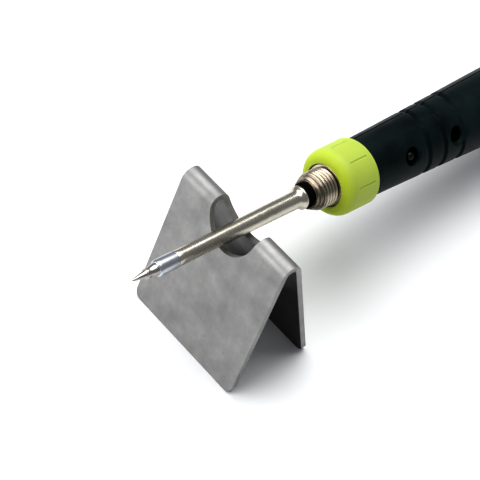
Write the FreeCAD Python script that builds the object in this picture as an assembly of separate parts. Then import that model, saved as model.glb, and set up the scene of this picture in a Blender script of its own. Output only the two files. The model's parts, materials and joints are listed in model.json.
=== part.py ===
import FreeCAD, Part
import math
import os
from FreeCAD import Vector

# A pencil soldering iron resting on a folded sheet stand. Millimetres, +Z up.
# The iron is drawn along its own +Y, tip at the origin, touch contact towards +Z, then laid on the stand.
# Positions along the iron (s_...) are counted from the tip towards the tail.

# ---- stand
SHEET = 1.5
STAND_WIDTH = 37.0
STAND_HEIGHT = 39.5
FOLD_INNER_R = 1.5
FOLD_HALF_ANGLE = 14.24
NOTCH_HALF_WIDTH = 7.9
NOTCH_DEPTH = 9.9
FOOT_CORNER_R = 2.3

# ---- how the iron lies
TIP_AT = Vector(0.675, -32.5, 38.94)
IRON_PITCH = -9.045
IRON_YAW = 3.4
IRON_ROLL = 57.0

# ---- cartridge
S_BIT_RING = 4.0
S_SLEEVE = 7.1
S_SLEEVE_END = 13.2
S_FLARE = 53.0
S_FLARE_END = 55.4
S_RING_STEP = 56.4
S_NOSE = 57.4
S_SHOULDER = 64.3
S_FLANGE = 67.9
S_NOSE_END = 82.0
S_PIN_END = 86.0
BIT_POINT_R = 0.3
BIT_NECK_R = 1.0
BIT_RING_R = 1.25
BIT_RING_LENGTH = 0.8
BIT_BASE_R = 1.6
BIT_SHANK_R = 1.2
SLEEVE_SPIGOT = 3.5
SLEEVE_R = 2.08
BARREL_FRONT_R = 1.95
BARREL_REAR_R = 2.27
BARREL_BORE_R = 1.62
FLARE_R = 3.05
FLARE_RIM = 0.5
TAIL_TUBE_R = 2.6
TAIL_TUBE_WALL = 0.4
TAIL_TUBE_LENGTH = 5.0
RING_NECK_R = 2.95
RING_R = 3.3
THREAD_R = 4.95
THREAD_PITCH = 1.0
THREAD_DEPTH = 0.6
THREAD_TURNS = 6
NOSE_FRONT_R = 3.9
THREAD_LEAD_SLOPE = 0.42
SHOULDER_R = 5.4
FLANGE_R = 6.9
FLANGE_LENGTH = 1.5
PLUG_R = 4.42
NOSE_BORE_R = 3.0
PIN_R = 1.15
PIN_HEAD_R = 1.8
PIN_LENGTH_IN_NOSE = 8.0
INSULATOR_LENGTH = 18.0
INSULATOR_LIP_R = 3.8
INSULATOR_LIP = 1.5
LEAD_R = 0.25
LEAD_OFFSET = 0.55
S_HEATER = 21.0
S_HEATER_END = 47.0

# ---- collar
S_COLLAR = 64.0
S_COLLAR_END = 75.0
COLLAR_R = 8.75
COLLAR_FACE_R = 6.1
COLLAR_FRONT_R = 8.68
COLLAR_ROUND = 2.9
COLLAR_EDGE = 0.3
COLLAR_HOLE_R = 5.66
COLLAR_THREAD_R = 7.15
COLLAR_LEAD_IN = 0.8
COLLAR_GROOVE_R = 0.25
COLLAR_GROOVE_START = 3.3
COLLAR_GROOVE_LENGTH = 5.8
COLLAR_GROOVES = 8
COLLAR_GROOVE_TURN = 38.0

# ---- handle
S_SHELL = 75.4
S_WALL_END = 78.0
S_TOUCH = 88.5
S_SCREWS = (106.0, 152.0)
S_TAIL = 191.0
TAIL_WALL = 2.0
CAVITY_FRONT_R = 5.95
BUSH_R = 7.08
BUSH_NECK_R = 5.9
BUSH_FLANGE_R = 6.5
BUSH_REAR_R = 5.6
BUSH_BORE_R = 4.5
BUSH_FLANGE_LENGTH = 2.0
S_BUSH_END = 83.5
S_HOLDER = 87.0
HOLDER_THICKNESS = 1.5
CONTACT_DISC_R = 2.0
TONGUE_HALF_WIDTH = 1.15
TONGUE_THICKNESS = 0.6
CONTACT_LEAD_R = 0.3
GROUND_LEAD_X = 4.0
GROUND_LEAD_Z = -3.1
HANDLE_RADII = ((75.7, 7.75), (83.0, 7.95), (95.0, 8.35), (101.0, 8.55), (108.0, 8.8), (116.0, 9.15),
                (122.0, 9.38), (128.0, 9.6), (136.0, 9.85), (145.0, 10.0), (160.0, 9.95), (175.0, 9.7))
TAIL_EDGE = ((1.6, 9.25), (0.5, 8.85), (0.0, 8.1))
GRIP_GROOVES = (96.8, 102.8, 109.8)
GROOVE_TILT = 16.0
GROOVE_STEPS = ((2.1, 0.16), (1.5, 0.32), (0.9, 0.48))
CAVITY_RADII = ((98.0, 6.6), (106.0, 7.0), (150.0, 7.8))
TOUCH_RECESS_R = 2.5
TOUCH_RECESS_Z = 6.7
TOUCH_BALL_R = 1.35
TOUCH_BALL_Z = 6.45
TOUCH_HOLE_Z = 4.0
TOUCH_FLANGE_Z = (5.0, 5.5)
TOUCH_FLANGE_R = 1.6
TOUCH_STEM_Z = 4.4
TOUCH_STEM_R = 0.9
TOUCH_LEAD_Z = 2.6
SCREW_WELL_R = 2.1
SCREW_DISH = 1.4
SCREW_HEAD_R = 1.85
SCREW_HEAD_Z = 3.2
SCREW_HEAD_LENGTH = 1.5
SCREW_SHAFT_R = 0.95
SCREW_DEPTH = 6.0
SCREW_SLOT_REACH = 1.1
SCREW_SLOT_HALF = 0.22
SCREW_SLOT_FLOOR = 0.7
BOSS_R = 2.75
SLIP = 0.05

# ---- circuit
BOARD_START = 91.0
BOARD_END = 144.0
BOARD_WIDTH = 11.0
BOARD_TOP = -1.4
BOARD_THICKNESS = 1.2
BOARD_SUPPORTS = (96.0, 139.0)
RIB_HALF_WIDTH = 3.5
RIB_THICKNESS = 1.6
S_SWITCH = 116.0
SWITCH_LENGTH = 8.0
SWITCH_CAVITY = 6.0
SWITCH_R = 1.9
SWITCH_CAVITY_R = 1.6
BALL_R = 1.52
SWITCH_X = -2.9
LEG_HEIGHT = 0.5
LED_AT = (2.4, 98.5)
LED_BASE = (2.8, 3.4, 1.2)
LED_LENS_R = 1.1
S_TRANSISTOR = 131.0
TRANSISTOR_SIZE = (6.4, 6.0, 2.2)
TRANSISTOR_TAB = (5.2, 1.2)
TRANSISTOR_TAB_AHEAD = 3.6
TRANSISTOR_LEG = (0.8, 2.0)
TRANSISTOR_LEG_BEHIND = 4.0
TRANSISTOR_LEG_X = (-2.3, 0, 2.3)
CHIP_AT = (2.6, 119.5)
CHIP_SIZE = (3.6, 5.0, 1.5)
CHIP_LEG = (0.8, 0.4)
CHIP_LEG_X = (0.6, 4.6)
CHIP_LEG_STEPS = (-1.8, -0.6, 0.6, 1.8)
SMALL_PARTS_AT = ((-3.2, 96.5), (-3.2, 99.0), (-4.4, 104.0), (4.4, 105.0), (-4.2, 112.0), (4.2, 113.0),
                  (2.8, 124.5))
SMALL_PART_SIZE = (1.3, 2.0, 0.7)
S_CAPACITOR = 140.5
CAPACITOR_R = 2.4
CAPACITOR_HEIGHT = 4.5

# ---- power jack
S_JACK = 173.0
JACK_STOP = 1.5
JACK_R = 5.2
JACK_BORE_R = 1.8
JACK_BUSHING_R = 2.9
JACK_BUSHING_LENGTH = 8.0
JACK_CONTACT_LENGTH = 1.8
JACK_CONTACT_R = 2.4
SUPPLY_LEAD_X = 4.0
SUPPLY_LEAD_R = 0.5

PI = math.pi
AXIS = Vector(0, 1, 0)
UP = Vector(0, 0, 1)
BIG = 400.0
REACH = 20.0


# ---- shape helpers

def turned(profile):
    """Solid of revolution about Y from (s, radius) points; the outline is closed for you."""
    points = [Vector(r, s, 0) for s, r in profile]
    face = Part.Face(Part.makePolygon(points + [points[0]]))
    return face.revolve(Vector(0, 0, 0), AXIS, 360)


def rod(s0, s1, radius):
    return Part.makeCylinder(radius, s1 - s0, Vector(0, s0, 0), AXIS)


def tube(s0, s1, outer, inner):
    return rod(s0, s1, outer).cut(rod(s0, s1, inner))


def post(x, s, z0, z1, radius):
    return Part.makeCylinder(radius, z1 - z0, Vector(x, s, z0), UP)


def block(x0, x1, s0, s1, z0, z1):
    return Part.makeBox(x1 - x0, s1 - s0, z1 - z0, Vector(x0, s0, z0))


def on_board(x, s, width, length, height):
    """A block standing on the board, centred at x, s."""
    return block(x - width / 2, x + width / 2, s - length / 2, s + length / 2, BOARD_TOP, BOARD_TOP + height)


def wire(points, radius):
    """Round wire through the points, with rounded elbows."""
    points = [Vector(*p) for p in points]
    pieces = [Part.makeSphere(radius, p) for p in points[1:-1]]
    for a, b in zip(points, points[1:]):
        pieces.append(Part.makeCylinder(radius, (b - a).Length, a, b - a))
    return pieces[0].fuse(pieces[1:]).removeSplitter() if len(pieces) > 1 else pieces[0]


# ---- stand

def fold_points(inner):
    """Points of one face of the sheet, front foot over the fold to the rear foot, below the floor line."""
    a = math.radians(FOLD_HALF_ANGLE)
    outer_r = FOLD_INNER_R + SHEET
    r = FOLD_INNER_R if inner else outer_r
    centre_z = STAND_HEIGHT - outer_r
    tangent = (r * math.cos(a), centre_z + r * math.sin(a))
    drop = STAND_HEIGHT + SHEET
    foot = (tangent[0] + drop * math.sin(a), tangent[1] - drop * math.cos(a))
    return foot, tangent, centre_z + r


def sheet_half(inner):
    foot, tangent, top = fold_points(inner)
    left = [Vector(0, -y, z) for y, z in (foot, tangent)]
    right = [Vector(0, y, z) for y, z in (tangent, foot)]
    arc = Part.Arc(left[1], Vector(0, 0, top), right[0]).toShape()
    return [Part.makeLine(*left), arc, Part.makeLine(*right)], left[0], right[1]


def notch_cutter(side):
    """Elliptical prism square to one panel, centred on the fold in the flat sheet."""
    a = math.radians(FOLD_HALF_ANGLE)
    down = Vector(0, side * math.sin(a), -math.cos(a))
    normal = Vector(0, side * math.cos(a), math.sin(a))
    _, tangent, _ = fold_points(False)
    bend = (FOLD_INNER_R + SHEET) * math.sin(PI / 2 - a)
    centre = Vector(0, side * tangent[0], tangent[1]) - down * bend
    ellipse = Part.Ellipse(centre + down * NOTCH_DEPTH, centre + Vector(NOTCH_HALF_WIDTH, 0, 0), centre)
    face = Part.Face(Part.Wire([ellipse.toShape()]))
    prism = face.extrude(normal * -REACH)
    prism = prism.fuse(face.extrude(normal * REACH))
    half = block(-BIG, BIG, 0, BIG, 0, BIG) if side > 0 else block(-BIG, BIG, -BIG, 0, 0, BIG)
    return prism.common(half)


def rounded_feet(sheet):
    """Round the four outer corners where the panels meet the floor."""
    width = STAND_WIDTH / 2
    for x in (-width, width):
        inward = -math.copysign(FOOT_CORNER_R, x)
        corner = block(min(x, x + inward), max(x, x + inward), -BIG, BIG, 0, FOOT_CORNER_R)
        round_bar = Part.makeCylinder(FOOT_CORNER_R, 2 * BIG, Vector(x + inward, -BIG, FOOT_CORNER_R), AXIS)
        sheet = sheet.cut(corner.cut(round_bar))
    return sheet


def stand():
    outer, outer_left, outer_right = sheet_half(False)
    inner, inner_left, inner_right = sheet_half(True)
    edges = outer + [Part.makeLine(outer_right, inner_right)] + inner + [Part.makeLine(inner_left, outer_left)]
    outline = Part.Face(Part.Wire(Part.__sortEdges__(edges)))
    outline.translate(Vector(-STAND_WIDTH / 2, 0, 0))
    sheet = outline.extrude(Vector(STAND_WIDTH, 0, 0))
    sheet = sheet.cut(block(-BIG, BIG, -BIG, BIG, -BIG, 0))
    sheet = sheet.cut(notch_cutter(-1)).cut(notch_cutter(1))
    return rounded_feet(sheet)


# ---- cartridge

def solder_bit():
    """Blunt point, slim cone, small ring, then a wider cone that enters the sleeve."""
    ring_end = S_BIT_RING + BIT_RING_LENGTH
    cone_end = S_SLEEVE - SLIP
    profile = [(0, 0), (0, BIT_POINT_R * 0.6), (BIT_POINT_R, BIT_POINT_R), (S_BIT_RING, BIT_NECK_R)]
    profile += [(S_BIT_RING, BIT_RING_R), (ring_end, BIT_RING_R), (ring_end, BIT_RING_R - 0.1)]
    profile += [(cone_end, BIT_BASE_R), (cone_end, BIT_SHANK_R), (S_HEATER, BIT_SHANK_R), (S_HEATER, 0)]
    return turned(profile)


def bit_sleeve():
    """Short outer sleeve with a spigot pressed into the barrel."""
    spigot_end = S_SLEEVE_END + SLEEVE_SPIGOT
    spigot_r = BARREL_BORE_R - 0.03
    bore = BIT_SHANK_R + 0.02
    profile = [(S_SLEEVE, bore), (S_SLEEVE, SLEEVE_R - 0.35), (S_SLEEVE + 0.6, SLEEVE_R)]
    profile += [(S_SLEEVE_END - 0.1, SLEEVE_R), (S_SLEEVE_END, SLEEVE_R - 0.1)]
    profile += [(S_SLEEVE_END, spigot_r), (spigot_end, spigot_r), (spigot_end, bore)]
    return turned(profile)


def barrel_tube():
    """Slightly tapered tube, belled at the rear, with a plain tail that the ring and the nose sit on."""
    tail_end = S_NOSE + TAIL_TUBE_LENGTH
    tail_bore = TAIL_TUBE_R - TAIL_TUBE_WALL
    bell = S_FLARE_END - FLARE_RIM - S_FLARE
    profile = [(S_SLEEVE_END, BARREL_BORE_R), (S_SLEEVE_END, BARREL_FRONT_R), (S_FLARE, BARREL_REAR_R)]
    for t in (0.35, 0.6, 0.8, 0.93, 1.0):
        profile.append((S_FLARE + bell * t, BARREL_REAR_R + (FLARE_R - BARREL_REAR_R) * t ** 2.5))
    profile += [(S_FLARE_END, FLARE_R), (S_FLARE_END, TAIL_TUBE_R)]
    profile += [(tail_end, TAIL_TUBE_R), (tail_end, tail_bore), (S_FLARE_END, tail_bore)]
    profile += [(S_FLARE, BARREL_BORE_R)]
    return turned(profile)


def insulating_ring():
    """Black ring on the tube's tail, stepped down towards the bell."""
    bore = TAIL_TUBE_R + SLIP
    return turned([(S_FLARE_END, bore), (S_FLARE_END, RING_NECK_R), (S_RING_STEP, RING_NECK_R),
                   (S_RING_STEP, RING_R), (S_NOSE, RING_R), (S_NOSE, bore)])


def thread_outline():
    """Rings at the thread's pitch; the first ones are cut back by the lead-in cone."""
    start = S_SHOULDER - THREAD_TURNS * THREAD_PITCH - 0.2
    outline = [(S_NOSE, NOSE_FRONT_R)]
    for turn in range(THREAD_TURNS + 1):
        s = start + turn * THREAD_PITCH
        for offset, below in ((0, THREAD_DEPTH), (0.4, 0), (0.6, 0)):
            cone = NOSE_FRONT_R + THREAD_LEAD_SLOPE * (s + offset - S_NOSE)
            outline.append((s + offset * THREAD_PITCH, min(THREAD_R, cone) - below))
    return outline[:-2] + [(S_SHOULDER, THREAD_R - THREAD_DEPTH)]


def threaded_nose():
    """Thread, a shoulder, then the hidden flange and plug."""
    seat_r = TAIL_TUBE_R + SLIP
    seat_end = S_NOSE + TAIL_TUBE_LENGTH + 0.2
    flange_end = S_FLANGE + FLANGE_LENGTH
    profile = [(S_NOSE, seat_r)] + thread_outline() + [(S_SHOULDER, SHOULDER_R), (S_FLANGE, SHOULDER_R)]
    profile += [(S_FLANGE, FLANGE_R), (flange_end, FLANGE_R), (flange_end, PLUG_R)]
    profile += [(S_NOSE_END - 0.5, PLUG_R), (S_NOSE_END, PLUG_R - 0.5), (S_NOSE_END, NOSE_BORE_R)]
    profile += [(seat_end, NOSE_BORE_R), (seat_end, seat_r)]
    return turned(profile)


def nose_insulator():
    front = S_NOSE_END - INSULATOR_LENGTH
    end = S_NOSE_END + INSULATOR_LIP
    profile = [(front, PIN_R + SLIP), (front, NOSE_BORE_R - SLIP), (S_NOSE_END, NOSE_BORE_R - SLIP)]
    profile += [(S_NOSE_END, INSULATOR_LIP_R), (end, INSULATOR_LIP_R), (end, PIN_R + SLIP)]
    return turned(profile)


def centre_pin():
    head = S_NOSE_END + INSULATOR_LIP
    front = S_NOSE_END - PIN_LENGTH_IN_NOSE
    return turned([(front, 0), (front, PIN_R), (head, PIN_R), (head, PIN_HEAD_R), (S_PIN_END - 0.5, PIN_HEAD_R),
                   (S_PIN_END, PIN_HEAD_R - 0.5), (S_PIN_END, 0)])


def heater_core():
    return rod(S_HEATER, S_HEATER_END, BIT_SHANK_R)


def heater_leads():
    """One lead to the centre pin, the other bent out to the nose's wall."""
    offset = LEAD_OFFSET
    bend = S_NOSE_END - INSULATOR_LENGTH - 0.7
    to_pin = wire([(0, S_HEATER_END, offset), (0, S_NOSE_END - PIN_LENGTH_IN_NOSE, offset)], LEAD_R)
    to_wall = wire([(0, S_HEATER_END, -offset), (0, bend, -offset), (0, bend, -NOSE_BORE_R + 0.02)], LEAD_R)
    return Part.makeCompound([to_pin, to_wall])


# ---- collar

def collar_profile():
    """Narrow front face, full rounding to the outside, and the thread's bore behind the web."""
    steps = 8
    web_end = S_FLANGE - 0.1
    profile = [(S_COLLAR, COLLAR_HOLE_R)]
    for i in range(steps + 1):
        t = i / steps * PI / 2
        profile.append((S_COLLAR + 0.1 + COLLAR_ROUND * (1 - math.cos(t)),
                        COLLAR_FACE_R + (COLLAR_FRONT_R - COLLAR_FACE_R) * math.sin(t)))
    profile += [(S_COLLAR_END - COLLAR_EDGE, COLLAR_R), (S_COLLAR_END, COLLAR_R - COLLAR_EDGE)]
    profile += [(S_COLLAR_END, COLLAR_THREAD_R + 0.5), (S_COLLAR_END - COLLAR_LEAD_IN, COLLAR_THREAD_R)]
    profile += [(web_end, COLLAR_THREAD_R), (web_end, COLLAR_HOLE_R)]
    return profile


def collar():
    """Clamping nut with shallow axial grooves round its outside."""
    start = S_COLLAR + COLLAR_GROOVE_START
    grooves = []
    for i in range(COLLAR_GROOVES):
        a = 2 * PI * i / COLLAR_GROOVES + math.radians(COLLAR_GROOVE_TURN)
        centre = Vector(COLLAR_R * math.cos(a), start, COLLAR_R * math.sin(a))
        grooves.append(Part.makeCylinder(COLLAR_GROOVE_R, COLLAR_GROOVE_LENGTH, centre, AXIS))
    return turned(collar_profile()).cut(Part.makeCompound(grooves))


# ---- handle

def handle_outline(inset=0.0):
    """Outside of the handle: narrow front, wide body, and a rounded tail edge."""
    outline = [(S_SHELL, HANDLE_RADII[0][1] - 0.2 - inset)]
    outline += [(s, radius - inset) for s, radius in HANDLE_RADII]
    outline += [(S_TAIL - back, radius - inset) for back, radius in TAIL_EDGE]
    return outline


def handle_solid(inset=0.0):
    return turned([(S_SHELL, 0)] + handle_outline(inset) + [(S_TAIL, 0)])


def grip_grooves():
    """Three leaning grooves with stepped sides, further forward on the touch side."""
    cutters = []
    for width, depth in GROOVE_STEPS:
        skin = handle_solid().cut(handle_solid(depth))
        for s in GRIP_GROOVES:
            slab = block(-BIG, BIG, -width / 2, width / 2, -BIG, BIG)
            slab.Placement = FreeCAD.Placement(Vector(0, s, 0), FreeCAD.Rotation(Vector(1, 0, 0), GROOVE_TILT))
            cutters.append(slab.common(skin))
    return cutters


def cavity():
    """Space inside the closed shells, from the bush to the tail wall."""
    seat_end = S_WALL_END + BUSH_FLANGE_LENGTH
    widening = BOARD_START - 1.0
    tail = S_TAIL - TAIL_WALL
    profile = [(S_SHELL - 1, 0), (S_SHELL - 1, BUSH_NECK_R + SLIP), (S_WALL_END, BUSH_NECK_R + SLIP)]
    profile += [(S_WALL_END, BUSH_FLANGE_R + SLIP), (seat_end, BUSH_FLANGE_R + SLIP), (seat_end, CAVITY_FRONT_R)]
    stop = S_JACK - JACK_STOP
    profile += [(widening, CAVITY_FRONT_R), (widening, CAVITY_RADII[0][1])] + list(CAVITY_RADII)
    profile += [(stop, CAVITY_RADII[-1][1]), (stop, JACK_R + 0.4), (S_JACK, JACK_R + 0.4)]
    profile += [(S_JACK, JACK_R + SLIP), (tail, JACK_R + SLIP)]
    profile += [(tail, JACK_BUSHING_R + SLIP), (S_TAIL + 1, JACK_BUSHING_R + SLIP), (S_TAIL + 1, 0)]
    return turned(profile)


def handle_radius(s):
    """Radius of the handle's outside at s."""
    for (s0, r0), (s1, r1) in zip(HANDLE_RADII, HANDLE_RADII[1:]):
        if s0 <= s <= s1:
            return r0 + (r1 - r0) * (s - s0) / (s1 - s0)
    raise ValueError("outside the handle's body")


def screw_well(s):
    """Deep hole for one screw, dished at the surface."""
    surface = handle_radius(s)
    well = post(0, s, SCREW_HEAD_Z, REACH, SCREW_WELL_R)
    dish = Part.makeCone(SCREW_WELL_R, SCREW_WELL_R + 2 * SCREW_DISH, 2 * SCREW_DISH,
                         Vector(0, s, surface - SCREW_DISH), UP)
    shaft = post(0, s, -1, SCREW_HEAD_Z, SCREW_SHAFT_R + SLIP)
    return well.fuse([dish, shaft])


def touch_hole():
    recess = post(0, S_TOUCH, TOUCH_RECESS_Z, REACH, TOUCH_RECESS_R)
    surface = handle_radius(S_TOUCH)
    lip = Part.makeCone(TOUCH_RECESS_R, TOUCH_RECESS_R + 1, 1, Vector(0, S_TOUCH, surface - 0.4), UP)
    return recess.fuse([lip, post(0, S_TOUCH, TOUCH_HOLE_Z, TOUCH_RECESS_Z, TOUCH_BALL_R + SLIP)])


def half_shell(upper):
    shell = handle_solid().cut(cavity())
    z0, z1 = (0, BIG) if upper else (-BIG, 0)
    return shell.common(block(-BIG, BIG, -BIG, BIG, z0, z1))


def upper_shell():
    shell = half_shell(True)
    for s in S_SCREWS:
        shell = shell.fuse(post(0, s, 0, BIG, BOSS_R).common(handle_solid()))
    for s in S_SCREWS:
        shell = shell.cut(screw_well(s))
    return shell.cut(touch_hole()).cut(grip_grooves())


def lower_shell():
    shell = half_shell(False)
    bottom = BOARD_TOP - BOARD_THICKNESS
    inside = handle_solid(GROOVE_STEPS[-1][1])
    extra = [post(0, s, -BIG, 0, BOSS_R) for s in S_SCREWS]
    extra += [block(-RIB_HALF_WIDTH, RIB_HALF_WIDTH, s - RIB_THICKNESS / 2, s + RIB_THICKNESS / 2, -BIG, bottom)
              for s in BOARD_SUPPORTS]
    shell = shell.fuse([shape.common(inside) for shape in extra])
    for s in S_SCREWS:
        shell = shell.cut(post(0, s, -SCREW_DEPTH - 0.5, 1, SCREW_SHAFT_R + SLIP))
    return shell.cut(grip_grooves())


def shell_screws():
    screws = []
    for s in S_SCREWS:
        head = post(0, s, SCREW_HEAD_Z, SCREW_HEAD_Z + SCREW_HEAD_LENGTH, SCREW_HEAD_R)
        reach, half, floor = SCREW_SLOT_REACH, SCREW_SLOT_HALF, SCREW_HEAD_Z + SCREW_SLOT_FLOOR
        slots = [block(-reach, reach, s - half, s + half, floor, BIG),
                 block(-half, half, s - reach, s + reach, floor, BIG)]
        shaft = post(0, s, -SCREW_DEPTH, SCREW_HEAD_Z, SCREW_SHAFT_R)
        screws.append(head.cut(Part.makeCompound(slots)).fuse(shaft))
    return Part.makeCompound(screws)


def front_bush():
    front = S_FLANGE + FLANGE_LENGTH + 0.1
    seat_end = S_WALL_END + BUSH_FLANGE_LENGTH
    return turned([(front, BUSH_BORE_R), (front, BUSH_R), (S_SHELL - 0.1, BUSH_R), (S_SHELL - 0.1, BUSH_NECK_R),
                   (S_WALL_END, BUSH_NECK_R), (S_WALL_END, BUSH_FLANGE_R), (seat_end, BUSH_FLANGE_R),
                   (seat_end, BUSH_REAR_R), (S_BUSH_END, BUSH_REAR_R), (S_BUSH_END, BUSH_BORE_R)])


def touch_contact():
    ball = Part.makeSphere(TOUCH_BALL_R, Vector(0, S_TOUCH, TOUCH_BALL_Z))
    flange = post(0, S_TOUCH, *TOUCH_FLANGE_Z, TOUCH_FLANGE_R)
    return ball.fuse([flange, post(0, S_TOUCH, TOUCH_STEM_Z, TOUCH_BALL_Z, TOUCH_STEM_R)]).removeSplitter()


def touch_lead():
    land = BOARD_START + 2.0
    return wire([(0, S_TOUCH, TOUCH_STEM_Z), (0, S_TOUCH, TOUCH_LEAD_Z), (0, land, TOUCH_LEAD_Z),
                 (0, land, BOARD_TOP)], CONTACT_LEAD_R)


def contact_holder():
    """Disc across the cavity, open above for the touch contact, with holes for the tongue and the lead."""
    end = S_HOLDER + HOLDER_THICKNESS
    disc = rod(S_HOLDER, end, CAVITY_FRONT_R - SLIP)
    top_gap = block(-CONTACT_DISC_R, CONTACT_DISC_R, S_HOLDER, end, CONTACT_DISC_R, CAVITY_FRONT_R)
    half, rise = TONGUE_HALF_WIDTH + SLIP, TONGUE_THICKNESS / 2 + SLIP
    tongue_slot = block(-half, half, S_HOLDER, end, -rise, rise)
    lead_hole = rod(S_HOLDER, end, CONTACT_LEAD_R + 2 * SLIP)
    lead_hole.translate(Vector(GROUND_LEAD_X, 0, GROUND_LEAD_Z))
    return disc.cut(top_gap).cut(tongue_slot).cut(lead_hole)


def cartridge_contact():
    """Disc that meets the centre pin, with a tongue bent down to the board."""
    disc = rod(S_PIN_END + 2 * SLIP, S_HOLDER, CONTACT_DISC_R)
    land = BOARD_START + 1.0
    half, rise = TONGUE_HALF_WIDTH, TONGUE_THICKNESS / 2
    tongue = block(-half, half, S_HOLDER, land, -rise, rise)
    leg = block(-half, half, land - TONGUE_THICKNESS, land, BOARD_TOP, rise)
    return disc.fuse([tongue, leg])


def ground_lead():
    """From the bush's rear face, under the board, up to its solder side."""
    x, z = GROUND_LEAD_X, GROUND_LEAD_Z
    land = BOARD_START + 2.0
    return wire([(x, S_BUSH_END, z), (x, land, z), (x, land, BOARD_TOP - BOARD_THICKNESS)], CONTACT_LEAD_R)


def circuit_board():
    half = BOARD_WIDTH / 2
    board = block(-half, half, BOARD_START, BOARD_END, BOARD_TOP - BOARD_THICKNESS, BOARD_TOP)
    return board.cut(post(0, S_SCREWS[0], -4, 1, BOSS_R + 0.2))


def indicator_led():
    lens = Part.makeSphere(LED_LENS_R, Vector(*LED_AT, BOARD_TOP + LED_BASE[2]))
    return on_board(*LED_AT, *LED_BASE).fuse(lens)


def power_transistor():
    body = on_board(0, S_TRANSISTOR, *TRANSISTOR_SIZE)
    tab = on_board(0, S_TRANSISTOR - TRANSISTOR_TAB_AHEAD, *TRANSISTOR_TAB, LEG_HEIGHT)
    s_legs = S_TRANSISTOR + TRANSISTOR_LEG_BEHIND
    legs = [on_board(x, s_legs, *TRANSISTOR_LEG, LEG_HEIGHT) for x in TRANSISTOR_LEG_X]
    return body.fuse([tab] + legs)


def control_chip():
    body = on_board(*CHIP_AT, *CHIP_SIZE)
    legs = [on_board(x, CHIP_AT[1] + step, *CHIP_LEG, LEG_HEIGHT)
            for x in CHIP_LEG_X for step in CHIP_LEG_STEPS]
    return body.fuse(legs)


def board_parts():
    """Small chip resistors and capacitors, and one round capacitor near the rear."""
    parts = [on_board(x, s, *SMALL_PART_SIZE) for x, s in SMALL_PARTS_AT]
    parts.append(post(0, S_CAPACITOR, BOARD_TOP, BOARD_TOP + CAPACITOR_HEIGHT, CAPACITOR_R))
    return Part.makeCompound(parts)


def switch_centre_z():
    return BOARD_TOP + SWITCH_R


def vibration_switch_can():
    wall = (SWITCH_LENGTH - SWITCH_CAVITY) / 2
    can = rod(S_SWITCH, S_SWITCH + SWITCH_LENGTH, SWITCH_R)
    can = can.cut(rod(S_SWITCH + wall, S_SWITCH + SWITCH_LENGTH - wall, SWITCH_CAVITY_R))
    can.translate(Vector(SWITCH_X, 0, switch_centre_z()))
    return can


def vibration_switch_ball():
    rear = S_SWITCH + (SWITCH_LENGTH + SWITCH_CAVITY) / 2
    return Part.makeSphere(BALL_R, Vector(SWITCH_X, rear - BALL_R - 0.1, switch_centre_z()))


def supply_leads():
    leads = []
    for x in (-SUPPLY_LEAD_X, SUPPLY_LEAD_X):
        top = BOARD_TOP + SUPPLY_LEAD_R
        rise = BOARD_END + 2.0
        leads.append(wire([(x, BOARD_END - 4.0, top), (x, rise, top), (x, rise + 8.0, 0), (x, S_JACK, 0)],
                          SUPPLY_LEAD_R))
    return Part.makeCompound(leads)


def jack_housing():
    end = S_TAIL - TAIL_WALL
    mouth = S_TAIL - JACK_BUSHING_LENGTH
    seat = S_JACK + JACK_CONTACT_LENGTH
    return turned([(S_JACK, JACK_CONTACT_R), (S_JACK, JACK_R), (end, JACK_R), (end, JACK_BUSHING_R + SLIP),
                   (mouth, JACK_BUSHING_R + SLIP), (mouth, JACK_BORE_R), (seat, JACK_BORE_R),
                   (seat, JACK_CONTACT_R)])


def jack_bushing():
    return tube(S_TAIL - JACK_BUSHING_LENGTH, S_TAIL, JACK_BUSHING_R, JACK_BORE_R)


def jack_tip_contact():
    return rod(S_JACK, S_JACK + JACK_CONTACT_LENGTH, JACK_CONTACT_R - SLIP)


IRON_NODES = (solder_bit, bit_sleeve, barrel_tube, heater_core, heater_leads, insulating_ring, threaded_nose,
              nose_insulator, centre_pin, collar, upper_shell, lower_shell, shell_screws, front_bush,
              touch_contact, touch_lead, contact_holder, cartridge_contact, ground_lead, circuit_board,
              indicator_led, power_transistor, control_chip, board_parts, vibration_switch_can,
              vibration_switch_ball, supply_leads, jack_housing, jack_bushing, jack_tip_contact)


def iron_placement():
    """Roll the touch contact round, lower the tail, swing it sideways, then put the tip in place."""
    roll = FreeCAD.Rotation(AXIS, IRON_ROLL)
    pitch = FreeCAD.Rotation(Vector(1, 0, 0), IRON_PITCH)
    yaw = FreeCAD.Rotation(UP, IRON_YAW)
    return FreeCAD.Placement(TIP_AT, yaw.multiply(pitch).multiply(roll))


def all_nodes():
    """Every node's shape where it sits on the stand."""
    placement = iron_placement()
    shapes = {"stand": stand()}
    for make in IRON_NODES:
        shape = make()
        shape.Placement = placement.multiply(shape.Placement)
        shapes[make.__name__] = shape
    return shapes


def row_shift(shapes):
    """Move that puts the whole object's floor centre at the origin."""
    box = Part.makeCompound(list(shapes.values())).optimalBoundingBox(False)
    return Vector(-box.Center.x, -box.Center.y, -box.ZMin)


def main():
    os.makedirs("parts", exist_ok=True)
    shapes = all_nodes()
    shift = row_shift(shapes)
    for name, shape in shapes.items():
        shape.translate(shift)
        shape.exportStep("parts/" + name + ".step")


if __name__ == "__main__":
    main()
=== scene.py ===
import json
import math

import bpy
from mathutils import Matrix, Vector

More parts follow.
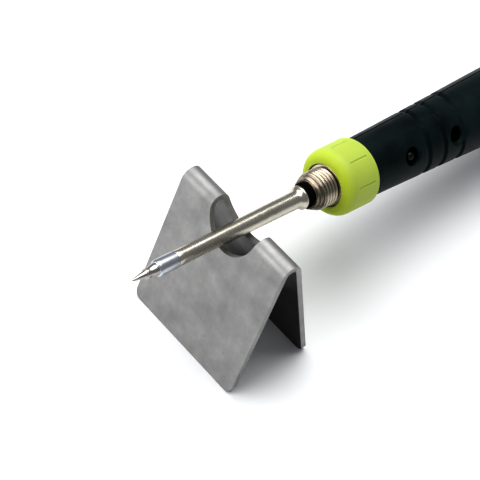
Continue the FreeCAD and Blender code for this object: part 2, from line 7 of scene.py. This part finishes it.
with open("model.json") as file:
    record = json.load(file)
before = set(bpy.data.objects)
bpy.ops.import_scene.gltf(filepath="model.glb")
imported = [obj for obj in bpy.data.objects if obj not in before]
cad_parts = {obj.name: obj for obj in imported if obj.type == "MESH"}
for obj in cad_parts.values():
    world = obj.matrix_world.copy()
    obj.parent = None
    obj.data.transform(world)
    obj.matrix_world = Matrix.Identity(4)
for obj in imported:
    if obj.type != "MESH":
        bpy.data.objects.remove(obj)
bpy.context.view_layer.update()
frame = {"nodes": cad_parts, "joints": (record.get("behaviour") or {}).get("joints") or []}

# Sizes are metres in the row frame. The iron's own frame has +Y from the tip to the tail and +Z through the
# touch contact; positions along it are counted from the tip.

# ---- places on the CAD nodes that the materials and the iron's frame follow
MM = 0.001
COLLAR_FRONT = 64.0 * MM
IRON_ROLL = math.radians(57.0)
FOLD_LEAN = math.radians(14.24)
FOLD_TOP = 39.5 * MM
FOLD_R = 3.0 * MM
FOLD_Y = -62.31 * MM
SHEET = 1.5 * MM
RECESSES_END = 180.0 * MM
THREAD_START = 59.1 * MM

# ---- where one finish or painted shade changes into the next: the first value is the start of the change, the second its end
# UNDER_SKIN, NOTCH_REACH and BEND_FADE bound the painted shade on the sheet's inner side under the fold.
UNDER_SKIN = (SHEET - 0.02 * MM, SHEET - 0.12 * MM)  # depth below the sheet's outer face
NOTCH_REACH = (15.0 * MM, 22.0 * MM)  # distance from the middle of the fold
BEND_FADE = (FOLD_TOP - SHEET, FOLD_TOP - SHEET + 0.4 * MM)  # height
COLLAR_FACE = (COLLAR_FRONT + 0.4 * MM, COLLAR_FRONT + 2.2 * MM)  # along the iron
# THREAD_LEAD_IN and THREAD_RADII bound the painted shade in the nose's thread.
THREAD_LEAD_IN = (THREAD_START, THREAD_START + 0.5 * MM)  # along the iron
THREAD_RADII = (4.4 * MM, 4.8 * MM)  # root and crest
# RECESS_RADII and TAIL_FADE bound the painted shade in the handle's recesses and inside its shell.
RECESS_RADII = (6.9 * MM, 7.6 * MM)  # floor and rim
TAIL_FADE = (RECESSES_END, RECESSES_END + 1.0 * MM)  # along the iron
SEAM_EDGES = (0.15 * MM, 0.40 * MM)  # distance from the plane where the shells meet

# ---- edges of the CAD nodes
WELD_GAP = 0.002 * MM
EDGE_BREAK = 0.12 * MM
EDGE_SEGMENTS = 2
EDGE_ANGLE = math.radians(35)
NORMAL_WEIGHT = 100

# ---- camera, light and floor
CAMERA_AT = Vector((0.20473, -0.29350, 0.38651))
CAMERA_AZIMUTH = math.radians(-41.32)
CAMERA_ELEVATION = math.radians(49.02)
CAMERA_ROLL = math.radians(-11.97)
LENS_MM = 150.5
SENSOR_MM = 36.0
NEAR_CLIP = 0.01
LIGHT_AIM = (0, 0, 0.02)
LIGHTS = (
    # name, place, size, watts
    ("overhead", (-0.20, 0.15, 0.90), (1.0, 0.9), 10.6),
    ("front", (-0.35, -0.80, 0.45), (1.0, 0.6), 6.2),
)
SKY_COLOUR = (0.93, 0.96, 1.0)
SKY_STRENGTH = 0.30
FLOOR_HALF = 3.0
FLOOR_HEIGHT = -0.02 * MM
DISPLAY_GAMMA = 0.75


# ---- the iron's place, read from its joints

def iron_matrix():
    """Iron frame to row frame, from the collar joint's point and axis."""
    joints = {j["name"]: j for j in frame["joints"]}
    along = -Vector(joints["collar_turn"]["axis"]).normalized()
    tip = Vector(joints["collar_turn"]["pos_m"]) - along * COLLAR_FRONT
    side = along.cross(Vector((0, 0, 1))).normalized()
    up = side.cross(along)
    touch = up * math.cos(IRON_ROLL) + side * math.sin(IRON_ROLL)
    rotation = Matrix((along.cross(touch), along, touch)).transposed()
    return Matrix.Translation(tip) @ rotation.to_4x4()


IRON = iron_matrix()


# ---- material helpers

class Shader:
    """A Principled material and short ways to add the nodes that drive it."""

    def __init__(self, name, **values):
        self.material = bpy.data.materials.new(name)
        self.material.use_nodes = True
        self.tree = self.material.node_tree
        self.bsdf = self.tree.nodes["Principled BSDF"]
        self.set(**values)

    def set(self, **values):
        for key, value in values.items():
            socket = self.bsdf.inputs[key.replace("_", " ")]
            if isinstance(value, bpy.types.NodeSocket):
                self.tree.links.new(value, socket)
            else:
                socket.default_value = (*value, 1) if socket.type == "RGBA" else value

    def add(self, kind, **inputs):
        node = self.tree.nodes.new(kind)
        for key, value in inputs.items():
            self.plug(node, key.replace("_", " "), value)
        return node

    def plug(self, node, key, value):
        """Link or set one input: a key like i0 picks it by its place, any other by its name."""
        socket = node.inputs[int(key[1:])] if key[0] == "i" and key[1:].isdigit() else node.inputs[key]
        if isinstance(value, bpy.types.NodeSocket):
            self.tree.links.new(value, socket)
        else:
            socket.default_value = value

    def place(self, scale=(1, 1, 1), matrix=None):
        """Object coordinates, in the row frame or turned into the iron's, then stretched."""
        vector = self.add("ShaderNodeTexCoord").outputs["Object"]
        if matrix is not None:
            back = matrix.inverted()
            turn = self.add("ShaderNodeMapping", Vector=vector, Location=back.to_translation(),
                            Rotation=back.to_euler("XYZ"))
            vector = turn.outputs["Vector"]
        return self.add("ShaderNodeMapping", Vector=vector, Scale=scale).outputs["Vector"]

    def noise(self, vector, scale, detail, roughness=0.5):
        node = self.add("ShaderNodeTexNoise", Vector=vector, Scale=scale, Detail=detail, Roughness=roughness)
        return node.outputs["Fac"]

    def remap(self, value, low, high, to_low, to_high):
        node = self.add("ShaderNodeMapRange", Value=value, From_Min=low, From_Max=high,
                        To_Min=to_low, To_Max=to_high)
        return node.outputs["Result"]

    def ramp(self, value, *stops):
        node = self.add("ShaderNodeValToRGB", Fac=value)
        elements = node.color_ramp.elements
        while len(elements) < len(stops):
            elements.new(0.5)
        for element, (position, colour) in zip(elements, stops):
            element.position = position
            element.color = (*colour, 1)
        return node.outputs["Color"]

    def along(self, vector, axis):
        return self.add("ShaderNodeSeparateXYZ", Vector=vector).outputs[axis]

    def measure(self, operation, *vectors):
        """A length or a distance, as one number."""
        node = self.add("ShaderNodeVectorMath", **{f"i{i}": vector for i, vector in enumerate(vectors)})
        node.operation = operation
        return node.outputs["Value"]

    def iron_radius(self):
        """Distance from the iron's axis."""
        return self.measure("LENGTH", self.place((1, 0, 1), IRON))

    def math(self, operation, a, b=0.5):
        node = self.add("ShaderNodeMath", i0=a, i1=b)
        node.operation = operation
        return node.outputs["Value"]

    def mix(self, fac, a, b):
        node = self.tree.nodes.new("ShaderNodeMix")
        node.data_type = "RGBA"
        sockets = {socket.identifier: socket for socket in node.inputs}
        for key, value in (("Factor_Float", fac), ("A_Color", a), ("B_Color", b)):
            if isinstance(value, bpy.types.NodeSocket):
                self.tree.links.new(value, sockets[key])
            else:
                sockets[key].default_value = (*value, 1) if isinstance(value, tuple) else value
        return [socket for socket in node.outputs if socket.identifier == "Result_Color"][0]

    def bump(self, height, strength, distance, normal=None):
        node = self.add("ShaderNodeBump", Height=height, Strength=strength, Distance=distance)
        if normal is not None:
            self.tree.links.new(normal, node.inputs["Normal"])
        return node.outputs["Normal"]


# ---- materials

def painted_shade_under_fold(s, vector):
    """Painted shade on the sheet's side under the fold: 1 there, 0 on the outside, on the bend and near the
    notch.
    """
    across = s.math("ABSOLUTE", s.math("SUBTRACT", s.along(vector, "Y"), FOLD_Y))
    height = s.along(vector, "Z")
    offset = s.math("ADD", s.math("MULTIPLY", across, math.cos(FOLD_LEAN)),
                    s.math("MULTIPLY", height, math.sin(FOLD_LEAN)))
    outside = FOLD_R + (FOLD_TOP - FOLD_R) * math.sin(FOLD_LEAN)
    depth = s.remap(offset, outside - UNDER_SKIN[0], outside - UNDER_SKIN[1], 1.0, 0.0)
    from_notch = s.measure("DISTANCE", vector, (0, FOLD_Y, FOLD_TOP))
    away = s.remap(from_notch, *NOTCH_REACH, 0.0, 1.0)
    below = s.remap(height, *BEND_FADE, 1.0, 0.0)
    return s.math("MULTIPLY", s.math("MULTIPLY", depth, away), below)


def stand_sheet():
    """Milled stainless: cloudy patches, faint streaks down the slope and small specks, with painted shade on
    the inner side under the fold.
    """
    s = Shader("stainless_sheet", Metallic=0.85)
    even = s.place()
    streaks = s.noise(s.place((1.0, 0.05, 0.05)), 2200.0, 3.0)
    clouds = s.noise(even, 150.0, 6.0, 0.66)
    grain = s.noise(even, 5200.0, 2.0)
    patch = s.math("ADD", s.math("MULTIPLY", clouds, 0.9), s.math("MULTIPLY", streaks, 0.1))
    colour = s.ramp(patch, (0.32, (0.28, 0.276, 0.272)), (0.52, (0.33, 0.326, 0.322)),
                    (0.72, (0.39, 0.385, 0.378)))
    specks = s.remap(s.noise(even, 900.0, 2.0), 0.70, 0.76, 0.0, 0.35)
    speckled = s.mix(specks, colour, (0.20, 0.195, 0.19))
    # Painted shade: the inner side of the sheet under the fold, away from the notch and below the bend, is
    # mixed to near black.
    s.set(Base_Color=s.mix(painted_shade_under_fold(s, even), speckled, (0.05, 0.047, 0.045)))
    s.set(Roughness=s.remap(patch, 0.3, 0.7, 0.58, 0.46))
    relief = s.math("ADD", s.math("MULTIPLY", streaks, 0.4), grain)
    s.set(Normal=s.bump(relief, 0.12, 0.00004))
    return s.material


def turned_metal(name, colour, roughness, tint=None):
    """Lathe-turned metal: fine rings round the iron's axis and slight streaks of wear along it."""
    s = Shader(name, Metallic=1.0)
    rings = s.noise(s.place((0.02, 1.0, 0.02), IRON), 9000.0, 2.0)
    wear = s.noise(s.place((1, 0.12, 1), IRON), 700.0, 4.0, 0.55)
    dark = tuple(c * 0.78 for c in colour)
    gloss = s.math("ADD", s.math("MULTIPLY", rings, 0.4), s.math("MULTIPLY", wear, 0.6))
    s.set(Base_Color=s.mix(s.remap(wear, 0.35, 0.7, 0.0, 1.0), colour, tint or dark))
    s.set(Roughness=s.remap(gloss, 0.3, 0.7, roughness - 0.05, roughness + 0.05))
    s.set(Normal=s.bump(rings, 0.04, 0.00002))
    return s.material


def thread_metal():
    """Nickel plate, with painted shade in the thread's roots and, partly, on the lead-in in front of the
    thread.
    """
    s = Shader("nickel_plate", Metallic=1.0, Roughness=0.24)
    even = s.place(matrix=IRON)
    lead_in = s.remap(s.along(even, "Y"), *THREAD_LEAD_IN, 0.45, 0.0)
    crest = s.math("MAXIMUM", s.remap(s.iron_radius(), *THREAD_RADII, 0.0, 1.0), lead_in)
    wear = s.noise(even, 420.0, 5.0, 0.6)
    plate = s.mix(s.remap(wear, 0.35, 0.7, 0.0, 1.0), (0.64, 0.58, 0.48), (0.48, 0.42, 0.33))
    # Painted shade: the thread's roots, and partly the lead-in in front of it, are mixed towards dark brown.
    s.set(Base_Color=s.mix(crest, (0.16, 0.13, 0.10), plate))
    s.set(Roughness=s.remap(wear, 0.3, 0.7, 0.20, 0.32))
    s.set(Normal=s.bump(wear, 0.05, 0.00002))
    return s.material


def collar_plastic():
    """Lime satin plastic, a little translucent, deeper in colour on the front face, with grain and scuffs."""
    s = Shader("lime_plastic", Subsurface_Weight=0.2, Subsurface_Scale=0.0015,
               Subsurface_Radius=(0.8, 1.0, 0.2), IOR=1.46, Specular_IOR_Level=0.3)
    even = s.place(matrix=IRON)
    clouds = s.noise(even, 160.0, 4.0)
    scuffs = s.noise(s.place((1.0, 0.15, 1.0), IRON), 1400.0, 4.0, 0.7)
    front = s.remap(s.along(even, "Y"), *COLLAR_FACE, 1.0, 0.0)
    outside = s.ramp(clouds, (0.3, (0.47, 0.58, 0.10)), (0.7, (0.51, 0.62, 0.12)))
    s.set(Base_Color=s.mix(front, outside, (0.50, 0.60, 0.05)))
    s.set(Roughness=s.remap(scuffs, 0.3, 0.75, 0.42, 0.58))
    s.set(Normal=s.bump(s.noise(even, 3200.0, 3.0), 0.12, 0.00003))
    return s.material


def handle_plastic():
    """Smoky teal-black plastic: faint fingerprints, fine grain, a dull black line along the seam, and dull,
    near-black painted shade in the recesses and on the shell's inside.
    """
    s = Shader("handle_plastic", IOR=1.5, Specular_IOR_Level=0.07, Specular_Tint=(0.75, 1.0, 1.0))
    even = s.place(matrix=IRON)
    smears = s.noise(even, 90.0, 5.0, 0.6)
    # Painted shade: everything deeper than the recess rims, in front of the tail, is darkened.
    sunk = s.remap(s.iron_radius(), *RECESS_RADII, 1.0, 0.0)
    before_tail = s.remap(s.along(even, "Y"), *TAIL_FADE, 1.0, 0.0)
    recess_shade = s.math("MULTIPLY", sunk, before_tail)
    seam = s.remap(s.math("ABSOLUTE", s.along(even, "Z")), *SEAM_EDGES, 1.0, 0.0)
    seam_line_and_recess_shade = s.math("MAXIMUM", recess_shade, seam)
    colour = s.ramp(smears, (0.30, (0.003, 0.006, 0.007)), (0.70, (0.010, 0.021, 0.022)))
    # The dark seam line and the painted shade in the recesses are mixed to near black.
    s.set(Base_Color=s.mix(seam_line_and_recess_shade, colour, (0.0004, 0.0004, 0.0005)))
    s.set(Roughness=s.math("MAXIMUM", s.remap(smears, 0.3, 0.75, 0.34, 0.50), seam_line_and_recess_shade))
    grain = s.bump(s.noise(even, 1500.0, 3.0), 0.05, 0.00003)
    s.set(Normal=s.bump(s.math("MULTIPLY", seam_line_and_recess_shade, -1.0), 0.8, 0.0002, grain))
    return s.material


def plain(name, colour, roughness, metallic=0.0, specular=0.5):
    """Small parts: one colour with slight cloudiness, uneven gloss and a fine grain."""
    s = Shader(name, Metallic=metallic, Specular_IOR_Level=specular)
    even = s.place(matrix=IRON)
    clouds = s.noise(even, 600.0, 4.0)
    dark = tuple(c * 0.8 for c in colour)
    s.set(Base_Color=s.ramp(clouds, (0.3, dark), (0.7, colour)))
    s.set(Roughness=s.remap(clouds, 0.3, 0.7, roughness - 0.08, roughness + 0.08))
    s.set(Normal=s.bump(s.noise(even, 3600.0, 3.0), 0.08, 0.00003))
    return s.material


MATERIALS = {
    "stand": stand_sheet(),
    "solder_bit": turned_metal("plated_bit", (0.52, 0.50, 0.48), 0.28),
    "bit_sleeve": turned_metal("bright_aluminium", (0.63, 0.65, 0.70), 0.33),
    "barrel_tube": turned_metal("stainless_tube", (0.72, 0.69, 0.61), 0.27, (0.52, 0.48, 0.40)),
    "insulating_ring": plain("black_ring", (0.002, 0.002, 0.002), 0.8, specular=0.05),
    "threaded_nose": thread_metal(),
    "collar": collar_plastic(),
    "upper_shell": handle_plastic(),
    # The touch contact (and the switch ball) is polished steel, painted near black as the shade at the bottom
    # of its recess.
    "touch_contact": plain("polished_steel", (0.03, 0.03, 0.03), 0.35, 1.0),
    "shell_screws": plain("black_steel", (0.03, 0.03, 0.03), 0.35, 1.0),
    "heater_core": plain("ceramic", (0.80, 0.77, 0.70), 0.6),
    "heater_leads": plain("tinned_wire", (0.60, 0.60, 0.60), 0.3, 1.0),
    "nose_insulator": plain("cream_insulator", (0.72, 0.67, 0.55), 0.55),
    "centre_pin": plain("brass", (0.72, 0.52, 0.22), 0.25, 1.0),
    "circuit_board": plain("board_laminate", (0.02, 0.16, 0.07), 0.35),
    "indicator_led": plain("clear_lens", (0.75, 0.15, 0.10), 0.1),
    "power_transistor": plain("black_epoxy", (0.02, 0.02, 0.02), 0.5),
    "supply_leads": plain("red_black_insulation", (0.40, 0.02, 0.02), 0.45),
}
SAME_AS = {
    "lower_shell": "upper_shell", "front_bush": "centre_pin", "cartridge_contact": "centre_pin",
    "jack_tip_contact": "centre_pin", "contact_holder": "nose_insulator", "ground_lead": "heater_leads",
    "touch_lead": "heater_leads", "control_chip": "power_transistor", "jack_housing": "power_transistor",
    "board_parts": "heater_core", "vibration_switch_can": "threaded_nose", "jack_bushing": "threaded_nose",
    "vibration_switch_ball": "touch_contact",
}


def dress_cad_nodes():
    """Every CAD node gets its material, smooth faces and a small edge break."""
    for name, node in frame["nodes"].items():
        node.data.materials.clear()
        node.data.materials.append(MATERIALS[SAME_AS.get(name, name)])
        for polygon in node.data.polygons:
            polygon.use_smooth = True
        weld = node.modifiers.new("weld", "WELD")
        weld.merge_threshold = WELD_GAP
        bevel = node.modifiers.new("edge_break", "BEVEL")
        bevel.width = EDGE_BREAK
        bevel.segments = EDGE_SEGMENTS
        bevel.limit_method = "ANGLE"
        bevel.angle_limit = EDGE_ANGLE
        normals = node.modifiers.new("even_normals", "WEIGHTED_NORMAL")
        normals.weight = NORMAL_WEIGHT


# ---- stage

def camera():
    """The camera, turned by azimuth and elevation and then rolled about its own line of sight."""
    data = bpy.data.cameras.new("camera")
    data.lens = LENS_MM
    data.sensor_width = SENSOR_MM
    data.clip_start = NEAR_CLIP
    cam = bpy.data.objects.new("camera", data)
    bpy.context.scene.collection.objects.link(cam)
    az, el = CAMERA_AZIMUTH, CAMERA_ELEVATION
    forward = Vector((math.sin(az) * math.cos(el), math.cos(az) * math.cos(el), -math.sin(el)))
    level = Vector((math.cos(az), -math.sin(az), 0))
    down = forward.cross(level)
    cr, sr = math.cos(CAMERA_ROLL), math.sin(CAMERA_ROLL)
    right = level * cr + down * sr
    lower = down * cr - level * sr
    rotation = Matrix((right, -lower, -forward)).transposed()
    cam.matrix_world = Matrix.Translation(CAMERA_AT) @ rotation.to_4x4()
    bpy.context.scene.camera = cam


def area_light(name, place, size, power):
    """A soft rectangular lamp that points at the object."""
    data = bpy.data.lights.new(name, "AREA")
    data.shape = "RECTANGLE"
    data.size, data.size_y = size
    data.energy = power
    lamp = bpy.data.objects.new(name, data)
    bpy.context.scene.collection.objects.link(lamp)
    lamp.location = place
    lamp.rotation_euler = (Vector(LIGHT_AIM) - Vector(place)).to_track_quat("-Z", "Y").to_euler()


def floor():
    """White paper just under the feet."""
    mesh = bpy.data.meshes.new("floor")
    corners = ((-1, -1), (1, -1), (1, 1), (-1, 1))
    mesh.from_pydata([(x * FLOOR_HALF, y * FLOOR_HALF, FLOOR_HEIGHT) for x, y in corners], [], [(0, 1, 2, 3)])
    plane = bpy.data.objects.new("floor", mesh)
    bpy.context.scene.collection.objects.link(plane)
    mesh.materials.append(Shader("floor_paper", Base_Color=(0.93, 0.935, 0.94), Roughness=0.6).material)


def light_and_stage():
    """Even sky light, the two lamps, the floor, the camera and the display's contrast."""
    world = bpy.data.worlds.new("studio")
    bpy.context.scene.world = world
    world.use_nodes = True
    background = world.node_tree.nodes["Background"]
    background.inputs["Color"].default_value = (*SKY_COLOUR, 1)
    background.inputs["Strength"].default_value = SKY_STRENGTH
    for light in LIGHTS:
        area_light(*light)
    floor()
    camera()
    bpy.context.scene.view_settings.view_transform = "Standard"
    bpy.context.scene.view_settings.gamma = DISPLAY_GAMMA


dress_cad_nodes()
light_and_stage()
